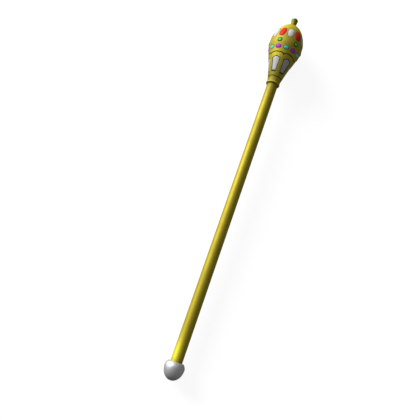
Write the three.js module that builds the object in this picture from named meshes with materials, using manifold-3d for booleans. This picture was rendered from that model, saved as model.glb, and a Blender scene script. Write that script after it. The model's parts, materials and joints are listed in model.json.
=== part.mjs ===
// A ceremonial sceptre with a gilt rod, a silver pommel and a jewelled, egg-shaped gilt head.
// It lies on a flat surface, on one small flat under the head and one under the pommel.
// Millimetres. The rod's axis is local +Y while the pieces are made, with height 0 at the
// lower edge of the collar. An azimuth turns about that axis, and 0 is the side that faces up
// when the sceptre lies. The last part lays the whole down, with +Z up and the head towards +X.

import * as THREE from "three";
import { mergeVertices } from "three/addons/utils/BufferGeometryUtils.js";
import Module from "manifold-3d";

// Rod, between the pommel and the collar
const shaftRadius = 11;
const shaftLength = 579;

// Air between a piece and the piece that holds it
const fitGap = 0.3;

// Collar and neck at the foot of the head, around the rod's upper end
const headSocketDepth = 14;
const collarWall = 3;
const collarBead = 1.9;
const collarBeadTurn = 0.6;
const neckWall = 2.1;
const neckHeight = 9.4;
const socketRadius = shaftRadius + fitGap;
const collarRadius = socketRadius + collarWall;
const neckRadius = socketRadius + neckWall;

// Lower engraved row of arches, above the neck
const lowerArchGap = 3.5;
const lowerArch = {
  foot: neckHeight + lowerArchGap,
  rise: 1.9,
  halfLine: 0.75,
  squareness: 2.6,
};

// Silver panels between the ribs of the flank, from a narrow foot to two shoulders and a peak
const panelGap = 10.8;
const panelSideRise = 25;
const panelPeakRise = 3.6;
const panelShoulderHalfWidth = 7.8;
const panelFootHalfWidth = 3.9;
const panelSeatDepth = 1.7;
const panelSink = 0.5;
const panelFootHeight = lowerArch.foot + lowerArch.rise + panelGap;
const panelShoulderHeight = panelFootHeight + panelSideRise;
const panelPeakHeight = panelShoulderHeight + panelPeakRise;

// Upper engraved row of arches, above the panels
const upperArchGap = 3.9;
const upperArch = {
  foot: panelPeakHeight + upperArchGap,
  rise: 5,
  halfLine: 0.95,
  squareness: 2.6,
};

// Rings of stones. Each stone has half of its height, half of its width and how square it is.
const sides = 6;
const beltStone = { halfHeight: 3.5, halfWidth: 5.7, squareness: 2.3 };
const shoulderStone = { halfHeight: 3.5, halfWidth: 4.3, squareness: 2.1 };
const crownStone = { halfHeight: 11.4, halfWidth: 6.3, squareness: 2.4 };
const beltAboveArches = 10.5;
const shoulderAboveBelt = 13.6;
const bellyAboveShoulder = 3.8;
const crownAboveBelly = 17.6;
const stoneSeatDepth = 1.7;
const stoneEdgeRise = 0.1;
const stoneRise = 0.8;
const longDomeShares = [1, 0.8, 0.45, 0];
const smallDomeShares = [1, 0.6, 0];
const beltHeight = upperArch.foot + upperArch.rise + beltAboveArches;
const shoulderHeight = beltHeight + shoulderAboveBelt;

// Egg of the head, widest at the belly. The flank's shape is in shares of its spread and rise.
const bellyRadius = 34.9;
const bellyHeight = shoulderHeight + bellyAboveShoulder;
const flankOut = 0.84;
const flankUp = 0.87;
const flankTurn = 0.16;
const crownRise = 55.3;
const crownFullness = 1.9;

// Finial post, cast with the head, and the stone in its end
const finialRootRadius = 5.4;
const finialTipRadius = 6.9;
const finialRise = 14.5;
const finialRimWidth = 0.5;
const finialRimRounding = 0.3;
const finialStoneRise = 5;
const finialSeatDepth = 2;
const finialHeight = bellyHeight + crownRise + finialRise;
const finialSeatRadius = finialTipRadius - finialRimWidth;
const finialStoneRadius = finialSeatRadius - fitGap;

// Pommel
const pommelTopRim = 2.8;
const pommelSwell = 4.7;
const pommelShoulder = 9.7;
const pommelDrop = 23.1;
const pommelSocketDepth = 9;
const pommelTopRadius = socketRadius + pommelTopRim;
const pommelRadius = pommelTopRadius + pommelSwell;

// Depth of the two flats that the sceptre rests on
const restFlatDepth = 0.3;

// How far the tool that sinks a seat stands above the metal that it clears
const seatClearance = 3;

// Fineness of the curved surfaces
const roundSteps = 32;
const pommelSteps = 24;
const flankSteps = 7;
const crownSteps = 7;
const crownStoneSteps = 12;
const smallStoneSteps = 10;
const archSteps = 6;
const archLineSides = 4;
const beadSteps = 3;
const pommelDropSteps = 7;
const pommelShoulderSteps = 4;
const finialStoneSteps = 4;
const outlineSteps = 160;
const panelSideSteps = [1, 4, 2, 4, 1];
const panelFaceRing = 0.5;

const fullTurn = 2 * Math.PI;
const halfTurn = Math.PI;
const quarterTurn = Math.PI / 2;

const wasm = await Module();
wasm.setup();

const gilt = { color: 0xd9b92e, roughness: 0.3, metalness: 1 };
const silver = { color: 0xc9c9cc, roughness: 0.28, metalness: 1 };
const stoneColours = {
  white: 0xe6e6ea,
  red: 0xd81b1b,
  green: 0x2fb52a,
  turquoise: 0x4fc4bb,
  violet: 0xb42fc0,
};

// The solid of a closed three.js geometry.
function solidOf(geometry) {
  const bare = geometry.clone();
  bare.deleteAttribute("normal");
  bare.deleteAttribute("uv");
  const welded = mergeVertices(bare);
  return new wasm.Manifold(new wasm.Mesh({
    numProp: 3,
    vertProperties: Float32Array.from(welded.attributes.position.array),
    triVerts: Uint32Array.from(welded.index.array),
  }));
}

// The three.js geometry of a solid.
function geometryOf(solid) {
  const mesh = solid.getMesh();
  const geometry = new THREE.BufferGeometry();
  geometry.setAttribute("position", new THREE.BufferAttribute(mesh.vertProperties, 3));
  geometry.setIndex(new THREE.BufferAttribute(mesh.triVerts, 1));
  geometry.computeVertexNormals();
  return geometry;
}

function named(name, geometry, finish) {
  const mesh = new THREE.Mesh(geometry, new THREE.MeshStandardMaterial(finish));
  mesh.name = name;
  return mesh;
}

// Points of an arc of an ellipse, as radius and height, between two angles from the radius.
function arcPoints(centre, radial, axial, from, to, steps) {
  const points = [];
  for (let i = 0; i <= steps; i += 1) {
    const angle = from + (to - from) * (i / steps);
    points.push(new THREE.Vector2(
      centre.x + radial * Math.cos(angle),
      centre.y + axial * Math.sin(angle),
    ));
  }
  return points;
}

// The flank rises almost straight from the neck and turns upright only near the belly.
function flankPoints(steps) {
  const rise = bellyHeight - neckHeight;
  const spread = bellyRadius - neckRadius;
  const curve = new THREE.CubicBezierCurve(
    new THREE.Vector2(neckRadius, neckHeight),
    new THREE.Vector2(neckRadius + flankOut * spread, neckHeight + flankUp * rise),
    new THREE.Vector2(bellyRadius, bellyHeight - flankTurn * rise),
    new THREE.Vector2(bellyRadius, bellyHeight),
  );
  return curve.getSpacedPoints(steps);
}

// The crown is a quarter of an oval, a little slimmer than an ellipse, from the belly to the top.
function crownPoint(angle) {
  const power = 2 / crownFullness;
  return new THREE.Vector2(
    bellyRadius * Math.cos(angle) ** power,
    bellyHeight + crownRise * Math.sin(angle) ** power,
  );
}

function crownPoints(steps, last) {
  const points = [];
  for (let i = 1; i <= steps; i += 1) {
    points.push(crownPoint(last * (i / steps)));
  }
  return points;
}

// The angle along the crown where the finial's foot stands.
function finialFootAngle() {
  return Math.acos((finialRootRadius / bellyRadius) ** (crownFullness / 2));
}

function headProfile() {
  const beadCentre = new THREE.Vector2(collarRadius - collarBead, collarBead);
  const beadEnd = quarterTurn * collarBeadTurn;
  return [
    new THREE.Vector2(0, headSocketDepth),
    new THREE.Vector2(socketRadius, headSocketDepth),
    new THREE.Vector2(socketRadius, 0),
    ...arcPoints(beadCentre, collarBead, collarBead, -quarterTurn, beadEnd, beadSteps),
    ...flankPoints(flankSteps),
    ...crownPoints(crownSteps, finialFootAngle()),
    new THREE.Vector2(finialTipRadius, finialHeight - finialRimRounding),
    new THREE.Vector2(finialTipRadius - finialRimRounding, finialHeight),
    new THREE.Vector2(finialSeatRadius, finialHeight),
    new THREE.Vector2(finialSeatRadius, finialHeight - finialSeatDepth),
    new THREE.Vector2(0, finialHeight - finialSeatDepth),
  ];
}

// The head's outline from neck to finial, measured by the length along its surface.
const outlinePoints = [
  ...flankPoints(outlineSteps),
  ...crownPoints(outlineSteps, finialFootAngle()),
];
const outlineHeights = outlinePoints.map((point) => point.y);
const outlineLengths = [0];
for (let i = 1; i < outlinePoints.length; i += 1) {
  outlineLengths.push(outlineLengths[i - 1] + outlinePoints[i].distanceTo(outlinePoints[i - 1]));
}

// The stretch of a rising list that holds a value, and the value's share of that stretch.
function placeIn(list, value) {
  const above = list.findIndex((entry) => entry >= value);
  const end = above === -1 ? list.length - 1 : Math.max(above, 1);
  return { end, share: (value - list[end - 1]) / (list[end] - list[end - 1]) };
}

function lengthAtHeight(height) {
  const { end, share } = placeIn(outlineHeights, height);
  return THREE.MathUtils.lerp(outlineLengths[end - 1], outlineLengths[end], share);
}

// A point over the head: so far along the outline, so far round from an azimuth, so far out.
function overHead(length, azimuth, across, outwards) {
  const { end, share } = placeIn(outlineLengths, length);
  const low = outlinePoints[end - 1];
  const high = outlinePoints[end];
  const surface = low.clone().lerp(high, share);
  const along = high.clone().sub(low).normalize();
  const radius = surface.x + outwards * along.y;
  const angle = azimuth + across / surface.x;
  return new THREE.Vector3(
    radius * Math.sin(angle),
    surface.y - outwards * along.x,
    radius * Math.cos(angle),
  );
}

// A closed outline grown outwards by a clearance. Its corners run anticlockwise.
function grown(corners, clearance) {
  return corners.map((corner, i) => {
    const before = corners[(i + corners.length - 1) % corners.length];
    const after = corners[(i + 1) % corners.length];
    const arriving = corner.clone().sub(before).normalize();
    const leaving = after.clone().sub(corner).normalize();
    const first = new THREE.Vector2(arriving.y, -arriving.x);
    const second = new THREE.Vector2(leaving.y, -leaving.x);
    const bisector = first.clone().add(second);
    return corner.clone().addScaledVector(bisector, clearance / (1 + first.dot(second)));
  });
}

// A stone's outline, seen from outside with the crown up: an oval with squarer or rounder ends.
function ovalOutline(stone, steps, clearance) {
  const power = 2 / stone.squareness;
  const corners = [];
  for (let i = 0; i < steps; i += 1) {
    const angle = fullTurn * (i / steps);
    const sine = Math.sin(angle);
    const cosine = Math.cos(angle);
    corners.push(new THREE.Vector2(
      -stone.halfWidth * Math.sign(sine) * Math.abs(sine) ** power,
      stone.halfHeight * Math.sign(cosine) * Math.abs(cosine) ** power,
    ));
  }
  return grown(corners, clearance);
}

const panelMiddle = lengthAtHeight((panelPeakHeight + panelFootHeight) / 2);

// A panel's outline: a peak, two shoulders and a narrow foot, with steps along the longer sides.
function panelOutline(clearance) {
  const peak = lengthAtHeight(panelPeakHeight) - panelMiddle;
  const shoulder = lengthAtHeight(panelShoulderHeight) - panelMiddle;
  const foot = lengthAtHeight(panelFootHeight) - panelMiddle;
  const corners = grown([
    new THREE.Vector2(0, peak),
    new THREE.Vector2(-panelShoulderHalfWidth, shoulder),
    new THREE.Vector2(-panelFootHalfWidth, foot),
    new THREE.Vector2(panelFootHalfWidth, foot),
    new THREE.Vector2(panelShoulderHalfWidth, shoulder),
  ], clearance);
  const outline = [];
  corners.forEach((corner, i) => {
    const next = corners[(i + 1) % corners.length];
    for (let step = 0; step < panelSideSteps[i]; step += 1) {
      outline.push(corner.clone().lerp(next, step / panelSideSteps[i]));
    }
  });
  return outline;
}

// A turned shape laid over the head: its radius is a share of the outline, its height goes out.
function laidOver(profile, outline, length, azimuth) {
  const shape = new THREE.LatheGeometry(profile, outline.length);
  const places = shape.attributes.position;
  for (let i = 0; i < places.count; i += 1) {
    const share = Math.hypot(places.getX(i), places.getZ(i));
    const turn = Math.atan2(places.getX(i), places.getZ(i)) / fullTurn;
    const side = outline[(Math.round(turn * outline.length) + outline.length) % outline.length];
    const point = overHead(length + share * side.y, azimuth, share * side.x, places.getY(i));
    places.setXYZ(i, point.x, point.y, point.z);
  }
  return shape;
}

// A low cabochon from its hidden base, over its edge, to the top of its dome.
function cabochonProfile(shares) {
  const dome = shares.map((share) => new THREE.Vector2(
    share,
    stoneEdgeRise + stoneRise * (1 - share * share),
  ));
  return [
    new THREE.Vector2(0, fitGap - stoneSeatDepth),
    new THREE.Vector2(1, fitGap - stoneSeatDepth),
    ...dome,
  ];
}

// A plate whose face lies a little below the gilt around it.
function panelProfile() {
  return [
    new THREE.Vector2(0, fitGap - panelSeatDepth),
    new THREE.Vector2(1, fitGap - panelSeatDepth),
    new THREE.Vector2(1, -panelSink),
    new THREE.Vector2(panelFaceRing, -panelSink),
    new THREE.Vector2(0, -panelSink),
  ];
}

// The tool that sinks a seat into the head and clears the metal above it.
function seatProfile(depth) {
  return [
    new THREE.Vector2(0, -depth),
    new THREE.Vector2(1, -depth),
    new THREE.Vector2(1, seatClearance),
    new THREE.Vector2(0, seatClearance),
  ];
}

// One arch of an engraved row: half an oval, a little squarer than an ellipse, drawn on the
// head between two ribs.
class ArchLine extends THREE.Curve {
  constructor(row, azimuth) {
    super();
    this.row = row;
    this.azimuth = azimuth;
  }

  getPoint(t, target = new THREE.Vector3()) {
    const power = 2 / this.row.squareness;
    const sine = Math.max(Math.sin(halfTurn * t), 0);
    const cosine = Math.cos(halfTurn * t);
    const height = this.row.foot + this.row.rise * sine ** power;
    const turn = (halfTurn / sides) * Math.sign(cosine) * Math.abs(cosine) ** power;
    const azimuth = this.azimuth - turn;
    return target.copy(overHead(lengthAtHeight(height), azimuth, 0, 0));
  }
}

function archCutter(row, azimuth) {
  const section = new THREE.Shape();
  for (let i = 0; i < archLineSides; i += 1) {
    const angle = fullTurn * (i / archLineSides);
    const x = row.halfLine * Math.cos(angle);
    const y = row.halfLine * Math.sin(angle);
    if (i === 0) {
      section.moveTo(x, y);
    } else {
      section.lineTo(x, y);
    }
  }
  return new THREE.ExtrudeGeometry(section, {
    steps: archSteps,
    bevelEnabled: false,
    extrudePath: new ArchLine(row, azimuth),
  });
}

// What is set into the head: the name, finish, shape and seat of every stone and panel.
function inlays() {
  const list = [];
  const add = (name, finish, profile, outline, seat, depth, length, azimuth) => {
    list.push({
      name,
      finish,
      shape: laidOver(profile, outline, length, azimuth),
      seat: laidOver(seatProfile(depth), seat, length, azimuth),
    });
  };
  const longDome = cabochonProfile(longDomeShares);
  const smallDome = cabochonProfile(smallDomeShares);
  const stoneFinish = (colour) => ({ color: stoneColours[colour], roughness: 0.15, metalness: 0 });
  const addStone = (name, colour, stone, profile, steps, height, azimuth) => {
    const outline = ovalOutline(stone, steps, 0);
    const seat = ovalOutline(stone, steps, fitGap);
    const length = lengthAtHeight(height);
    add(name, stoneFinish(colour), profile, outline, seat, stoneSeatDepth, length, azimuth);
  };
  const addCrown = (name, colour, azimuth) => addStone(
    name, colour, crownStone, longDome, crownStoneSteps, bellyHeight + crownAboveBelly, azimuth,
  );
  const addSmall = (name, colour, stone, height, azimuth) => addStone(
    name, colour, stone, smallDome, smallStoneSteps, height, azimuth,
  );
  for (let i = 0; i < sides; i += 1) {
    const rib = fullTurn * (i / sides);
    const face = rib + halfTurn / sides;
    const number = i + 1;
    addCrown(`crown_stone_white_${number}`, "white", rib);
    addCrown(`crown_stone_red_${number}`, "red", face);
    addSmall(`shoulder_stone_green_${number}`, "green", shoulderStone, shoulderHeight, face);
    addSmall(`belt_stone_turquoise_${number}`, "turquoise", beltStone, beltHeight, rib);
    addSmall(`belt_stone_violet_${number}`, "violet", beltStone, beltHeight, face);
    add(
      `silver_panel_${number}`,
      silver,
      panelProfile(),
      panelOutline(0),
      panelOutline(fitGap),
      panelSeatDepth,
      panelMiddle,
      face,
    );
  }
  return list;
}

function pommelProfile() {
  const top = -shaftLength;
  const equator = new THREE.Vector2(0, top - pommelShoulder);
  const rounding = Math.sqrt(1 - (pommelTopRadius / pommelRadius) ** 2);
  const upperAxis = pommelShoulder / rounding;
  const lastAngle = Math.acos(pommelTopRadius / pommelRadius);
  return [
    ...arcPoints(equator, pommelRadius, pommelDrop, -quarterTurn, 0, pommelDropSteps),
    ...arcPoints(equator, pommelRadius, upperAxis, 0, lastAngle, pommelShoulderSteps).slice(1),
    new THREE.Vector2(socketRadius, top),
    new THREE.Vector2(socketRadius, top - pommelSocketDepth),
    new THREE.Vector2(0, top - pommelSocketDepth),
  ];
}

function shaftProfile() {
  const foot = fitGap - shaftLength - pommelSocketDepth;
  const end = headSocketDepth - fitGap;
  return [
    new THREE.Vector2(0, foot),
    new THREE.Vector2(shaftRadius, foot),
    new THREE.Vector2(shaftRadius, end),
    new THREE.Vector2(0, end),
  ];
}

function finialStoneProfile() {
  const base = finialHeight - finialSeatDepth + fitGap;
  const dome = arcPoints(
    new THREE.Vector2(0, finialHeight),
    finialStoneRadius,
    finialStoneRise,
    0,
    quarterTurn,
    finialStoneSteps,
  );
  return [new THREE.Vector2(0, base), new THREE.Vector2(finialStoneRadius, base), ...dome];
}

// How far a turned outline reaches below its axis when that axis rises by an angle.
function reach(profile, incline) {
  const depths = profile.map(({ x, y }) => x * Math.cos(incline) - y * Math.sin(incline));
  return Math.max(...depths);
}

// The slope of the axis at which head and pommel touch the same surface.
function restIncline(head, pommel) {
  let low = 0;
  let high = quarterTurn / 2;
  const halvings = 50;
  for (let i = 0; i < halvings; i += 1) {
    const middle = (low + high) / 2;
    if (reach(head, middle) > reach(pommel, middle)) {
      low = middle;
    } else {
      high = middle;
    }
  }
  return (low + high) / 2;
}

const headOutline = headProfile();
const pommelOutline = pommelProfile();
const incline = restIncline(headOutline, pommelOutline);
const axisHeight = reach(headOutline, incline) - restFlatDepth;

// Lays the sceptre down: its axis runs towards +X and rises by the incline. The origin is on
// the surface, below the middle of the whole length.
const tipHeight = finialHeight + finialStoneRise;
const footHeight = -shaftLength - pommelShoulder - pommelDrop;
const laid = new THREE.Matrix4().makeBasis(
  new THREE.Vector3(0, -1, 0),
  new THREE.Vector3(Math.cos(incline), 0, Math.sin(incline)),
  new THREE.Vector3(-Math.sin(incline), 0, Math.cos(incline)),
);
laid.setPosition(-Math.cos(incline) * ((tipHeight + footHeight) / 2), 0, axisHeight);

// The surface that it lies on, as a thick slab in the sceptre's own frame.
function restSlab() {
  const slab = new THREE.BoxGeometry(3 * shaftLength, 4 * bellyRadius, bellyRadius);
  slab.translate(0, 0, -bellyRadius / 2);
  slab.applyMatrix4(laid.clone().invert());
  return slab;
}

const slabSolid = solidOf(restSlab());
const set = inlays();

let headSolid = solidOf(new THREE.LatheGeometry(headOutline, roundSteps));
for (const inlay of set) {
  headSolid = headSolid.subtract(solidOf(inlay.seat));
}
for (let i = 0; i < sides; i += 1) {
  const face = (fullTurn * (i + 0.5)) / sides;
  headSolid = headSolid.subtract(solidOf(archCutter(upperArch, face)));
  headSolid = headSolid.subtract(solidOf(archCutter(lowerArch, face)));
}
headSolid = headSolid.subtract(slabSolid);

const pommelSolid = solidOf(new THREE.LatheGeometry(pommelOutline, pommelSteps)).subtract(slabSolid);

const sceptre = new THREE.Group();
sceptre.add(named("head", geometryOf(headSolid), gilt));
sceptre.add(named("shaft", new THREE.LatheGeometry(shaftProfile(), roundSteps), gilt));
sceptre.add(named("pommel", geometryOf(pommelSolid), silver));
sceptre.add(named(
  "finial_stone",
  new THREE.LatheGeometry(finialStoneProfile(), smallStoneSteps),
  { color: stoneColours.turquoise, roughness: 0.15, metalness: 0 },
));
for (const inlay of set) {
  sceptre.add(named(inlay.name, inlay.shape, inlay.finish));
}

laid.decompose(sceptre.position, sceptre.quaternion, sceptre.scale);

const group = new THREE.Group();
group.add(sceptre);

export default group;
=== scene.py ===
# %% [markdown]
# A ceremonial sceptre in Blender
#
# The sceptre is a plain gilt rod with a silver pommel below and an egg-shaped gilt head above.
# The head is set with coloured stones and silver panels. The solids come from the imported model,
# and this lesson makes the finely finished pieces that are shown in their place.

import json
import math

import bpy
import numpy as np
from mathutils import Matrix, Vector


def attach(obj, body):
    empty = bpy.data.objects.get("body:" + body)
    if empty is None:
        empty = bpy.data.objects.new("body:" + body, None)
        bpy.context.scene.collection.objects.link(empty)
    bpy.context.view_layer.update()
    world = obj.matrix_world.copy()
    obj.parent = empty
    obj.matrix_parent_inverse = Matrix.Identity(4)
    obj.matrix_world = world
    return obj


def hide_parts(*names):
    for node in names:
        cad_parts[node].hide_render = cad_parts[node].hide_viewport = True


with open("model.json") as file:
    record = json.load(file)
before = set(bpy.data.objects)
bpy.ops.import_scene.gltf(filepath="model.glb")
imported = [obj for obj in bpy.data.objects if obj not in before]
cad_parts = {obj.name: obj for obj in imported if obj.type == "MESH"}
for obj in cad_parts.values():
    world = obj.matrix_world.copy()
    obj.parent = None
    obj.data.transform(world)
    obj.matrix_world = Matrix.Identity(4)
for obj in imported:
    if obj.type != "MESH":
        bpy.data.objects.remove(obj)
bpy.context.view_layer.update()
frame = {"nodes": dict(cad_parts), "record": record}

# %% [markdown]
# The sizes are the real ones, in millimetres, and MM turns them into Blender's metres. Heights run
# along the rod's axis and start at the lower edge of the collar. They are the same driving sizes
# that the solids were built from, so each fine piece fits where its solid sits. They could be
# measured off the solids, but then nobody could read what they mean.

# %% Name the sizes
MM = 0.001

SHAFT_RADIUS = 11
SHAFT_LENGTH = 579
FIT_GAP = 0.3
SOCKET_RADIUS = SHAFT_RADIUS + FIT_GAP

HEAD_SOCKET_DEPTH = 14
COLLAR_WALL = 3
COLLAR_RADIUS = SOCKET_RADIUS + COLLAR_WALL
COLLAR_BEAD = 1.9
COLLAR_BEAD_TURN = 0.6
NECK_WALL = 2.1
NECK_RADIUS = SOCKET_RADIUS + NECK_WALL
NECK_HEIGHT = 9.4

SIDES = 6
ARCH_SQUARENESS = 2.6
LOWER_ARCH_GAP = 3.5
LOWER_ARCH_FOOT = NECK_HEIGHT + LOWER_ARCH_GAP
LOWER_ARCH_RISE = 1.9
LOWER_ARCH_LINE = 0.85

PANEL_GAP = 10.8
PANEL_SIDE = 25
PANEL_PEAK = 3.6
PANEL_FOOT_HEIGHT = LOWER_ARCH_FOOT + LOWER_ARCH_RISE + PANEL_GAP
PANEL_SHOULDER_HEIGHT = PANEL_FOOT_HEIGHT + PANEL_SIDE
PANEL_PEAK_HEIGHT = PANEL_SHOULDER_HEIGHT + PANEL_PEAK
PANEL_SHOULDER_HALF_WIDTH = 7.8
PANEL_FOOT_HALF_WIDTH = 3.9
PANEL_SEAT_DEPTH = 1.7
PANEL_SINK = 0.5

UPPER_ARCH_GAP = 3.9
UPPER_ARCH_FOOT = PANEL_PEAK_HEIGHT + UPPER_ARCH_GAP
UPPER_ARCH_RISE = 5
UPPER_ARCH_LINE = 1.05

STONE_SEAT_DEPTH = 1.7
STONE_EDGE_RISE = 0.1
STONE_RISE = 0.75
BELT_ABOVE_ARCHES = 10.5
SHOULDER_ABOVE_BELT = 13.6
BELLY_ABOVE_SHOULDER = 3.8
CROWN_STONE_ABOVE_BELLY = 17.6
BELT_HEIGHT = UPPER_ARCH_FOOT + UPPER_ARCH_RISE + BELT_ABOVE_ARCHES
SHOULDER_HEIGHT = BELT_HEIGHT + SHOULDER_ABOVE_BELT
BELLY_HEIGHT = SHOULDER_HEIGHT + BELLY_ABOVE_SHOULDER
CROWN_STONE_HEIGHT = BELLY_HEIGHT + CROWN_STONE_ABOVE_BELLY

BELLY_RADIUS = 34.9
FLANK_OUT = 0.84
FLANK_UP = 0.87
FLANK_TURN = 0.16
CROWN_RISE = 55.3
CROWN_FULLNESS = 1.9

FINIAL_RISE = 14.5
FINIAL_HEIGHT = BELLY_HEIGHT + CROWN_RISE + FINIAL_RISE
FINIAL_ROOT_RADIUS = 5.4
FINIAL_TIP_RADIUS = 6.9
FINIAL_RIM_WIDTH = 0.5
FINIAL_SEAT_DEPTH = 2
FINIAL_SEAT_RADIUS = FINIAL_TIP_RADIUS - FINIAL_RIM_WIDTH
FINIAL_STONE_RADIUS = FINIAL_SEAT_RADIUS - FIT_GAP
FINIAL_STONE_RISE = 5

POMMEL_TOP_WALL = 2.8
POMMEL_TOP_RADIUS = SOCKET_RADIUS + POMMEL_TOP_WALL
POMMEL_SWELL = 4.7
POMMEL_RADIUS = POMMEL_TOP_RADIUS + POMMEL_SWELL
POMMEL_SHOULDER = 9.7
POMMEL_DROP = 23.1
POMMEL_SOCKET_DEPTH = 9

print("belly of the head", 2 * BELLY_RADIUS, "mm across at height", round(BELLY_HEIGHT, 1), "mm")

# %% [markdown]
# The pieces are turned and cut while the sceptre stands upright on Blender's Z axis, because
# turning is simplest there. Then each mesh is laid down where its solid lies. The two ends of the
# solid rod tell where the axis runs. An azimuth of 0 is the side that faces up at rest.

# %% Find the axis of the lying rod
rod_places = np.unique(
    np.round([v.co[:] for v in frame["nodes"]["shaft"].data.vertices], 6), axis=0
)
rod_middle = rod_places[:, 0].mean()
foot_end = Vector(rod_places[rod_places[:, 0] < rod_middle].mean(axis=0))
head_end = Vector(rod_places[rod_places[:, 0] > rod_middle].mean(axis=0))
axis_direction = (head_end - foot_end).normalized()
incline = math.asin(axis_direction.z)
axis_start = head_end - axis_direction * (HEAD_SOCKET_DEPTH - FIT_GAP) * MM
lay_down = Matrix.Translation(axis_start) @ Matrix.Rotation(math.pi / 2 - incline, 4, "Y")
print("axis rises", round(math.degrees(incline), 3), "degrees from", axis_start[:])

# %% [markdown]
# The photograph looks almost straight down on the lying sceptre, with the head at the top right.
# The lens is a little longer than normal. Place, turn and lens were fitted to the rod's edges,
# the collar and the stones.

# %% Set up the camera
CAMERA_PLACE = (-0.3541, 0.0346, 1.0186)
CAMERA_TURN = (15.024, -5.286, -71.055)
CAMERA_LENS = 46.16

bpy.ops.object.camera_add(
    location=CAMERA_PLACE, rotation=[math.radians(a) for a in CAMERA_TURN]
)
camera = bpy.context.object
camera.name = "camera"
camera.data.lens = CAMERA_LENS
bpy.context.scene.camera = camera
print("camera at", camera.location[:])

# %% [markdown]
# A material in Blender is a tree of nodes. It could be wired by hand, link by link, but plain sums
# are easier to read. This small class wraps one output of a node, and each sum, difference or
# product of wrapped values adds the Math node that works it out.

# %% A class for shader maths
class Value:
    """One output of a shader node, for use in sums."""

    def __init__(self, tree, socket):
        self.tree = tree
        self.socket = socket

    def maths(self, operation, *others):
        node = self.tree.nodes.new("ShaderNodeMath")
        node.operation = operation
        for place, item in enumerate([self, *others]):
            if isinstance(item, Value):
                self.tree.links.new(item.socket, node.inputs[place])
            else:
                node.inputs[place].default_value = item
        return Value(self.tree, node.outputs[0])

    def __add__(self, other):
        return self.maths("ADD", other)

    __radd__ = __add__

    def __mul__(self, other):
        return self.maths("MULTIPLY", other)

    __rmul__ = __mul__

    def __sub__(self, other):
        return self.maths("SUBTRACT", other)

    def __rsub__(self, other):
        return (self * -1) + other

    def clamped(self):
        return self.maths("MAXIMUM", 0).maths("MINIMUM", 1)


print("values can be added, subtracted and multiplied")

# %% [markdown]
# Every other node comes from one method, which sets the node's settings first and its sockets
# after. The rest of this class gives short names to what the finishes of the sceptre need: noise,
# painted attributes, soft steps, and blends of two colours. All patterns read the Object
# coordinates, so they stay with the piece from any side.

# %% A class for finishes
BUMP_DISTANCE = 0.1 * MM


class Finish:
    """One material, with helpers that add its nodes."""

    def __init__(self, name):
        self.material = bpy.data.materials.new(name)
        self.material.use_nodes = True
        self.tree = self.material.node_tree
        self.tree.nodes.clear()

    def node(self, kind, settings=None, inputs=None, output=0):
        made = self.tree.nodes.new(kind)
        for key, value in (settings or {}).items():
            setattr(made, key, value)
        for key, value in (inputs or {}).items():
            if isinstance(value, Value):
                self.tree.links.new(value.socket, made.inputs[key])
            else:
                made.inputs[key].default_value = value
        return Value(self.tree, made.outputs[output]) if made.outputs else None

    def place(self):
        return self.node("ShaderNodeTexCoord", output="Object")

    def noise(self, scale, detail, roughness, stretch=(1, 1, 1)):
        place = self.node(
            "ShaderNodeMapping", inputs={"Vector": self.place(), "Scale": stretch}
        )
        return self.node(
            "ShaderNodeTexNoise",
            inputs={"Vector": place, "Scale": scale, "Detail": detail, "Roughness": roughness},
        )

    def painted(self, name):
        return self.node("ShaderNodeAttribute", {"attribute_name": name}, output="Fac")

    def spread(self, value, low, high):
        """A soft step from 0 at the low value to 1 at the high one."""
        return self.node(
            "ShaderNodeMapRange",
            {"interpolation_type": "SMOOTHSTEP"},
            {"Value": value, "From Min": low, "From Max": high},
        )

    def blend(self, factor, first, second):
        """The first colour where the factor is 0, and the second where it is 1."""
        first_socket, second_socket, mixed = 6, 7, 2
        colours = [
            colour if isinstance(colour, Value) else (*colour, 1) for colour in (first, second)
        ]
        return self.node(
            "ShaderNodeMix",
            {"data_type": "RGBA"},
            {0: factor, first_socket: colours[0], second_socket: colours[1]},
            output=mixed,
        )

    def surface(self, settings, base, roughness, height, bump):
        normal = self.node(
            "ShaderNodeBump",
            inputs={"Strength": bump, "Distance": BUMP_DISTANCE, "Height": height},
        )
        inputs = {"Base Color": base, "Roughness": roughness, "Normal": normal, **settings}
        shader = self.node("ShaderNodeBsdfPrincipled", inputs=inputs, output="BSDF")
        self.node("ShaderNodeOutputMaterial", inputs={"Surface": shader})
        return self.material


print("finishes can be made")

# %% [markdown]
# Gilding is a thin skin of yellow gold over brass, and it is never one flat colour. It has cloudy
# brown patches, it is dull where cloth and hands rub it, and dark grime stays in every hollow. One
# even colour with some noise could stand for it, but real wear follows the shape. So four painted
# attributes tell where: one for the grime, which also carries painted shade under the collar and on
# the rod below it; one for the dull stretches, which on the head also carry painted shade by height;
# one for painted highlights; and one for painted shade on the lit side of the neck and a darker
# post.
# The fine marks run along the rod, as polishing leaves them.

# %% Make the gilt
GILT_BRIGHT = (0.56, 0.455, 0.016)
GILT_RUBBED_AND_SHADED = (0.46, 0.39, 0.03)
GILT_CLOUDED = (0.45, 0.34, 0.006)
GILT_HIGHLIGHT = (0.95, 0.86, 0.04)
GILT_DARKENED = (0.12, 0.098, 0.0012)
GILT_GRIME_AND_SHADE = (0.035, 0.027, 0.002)
GILT_ROUGHNESS = 0.54
GILT_METALLIC = 0.5
GILT_SPECULAR = 0.6
EVEN_MARKS = (1, 1, 1)
LONG_MARKS = (0.06, 1, 1)


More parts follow.
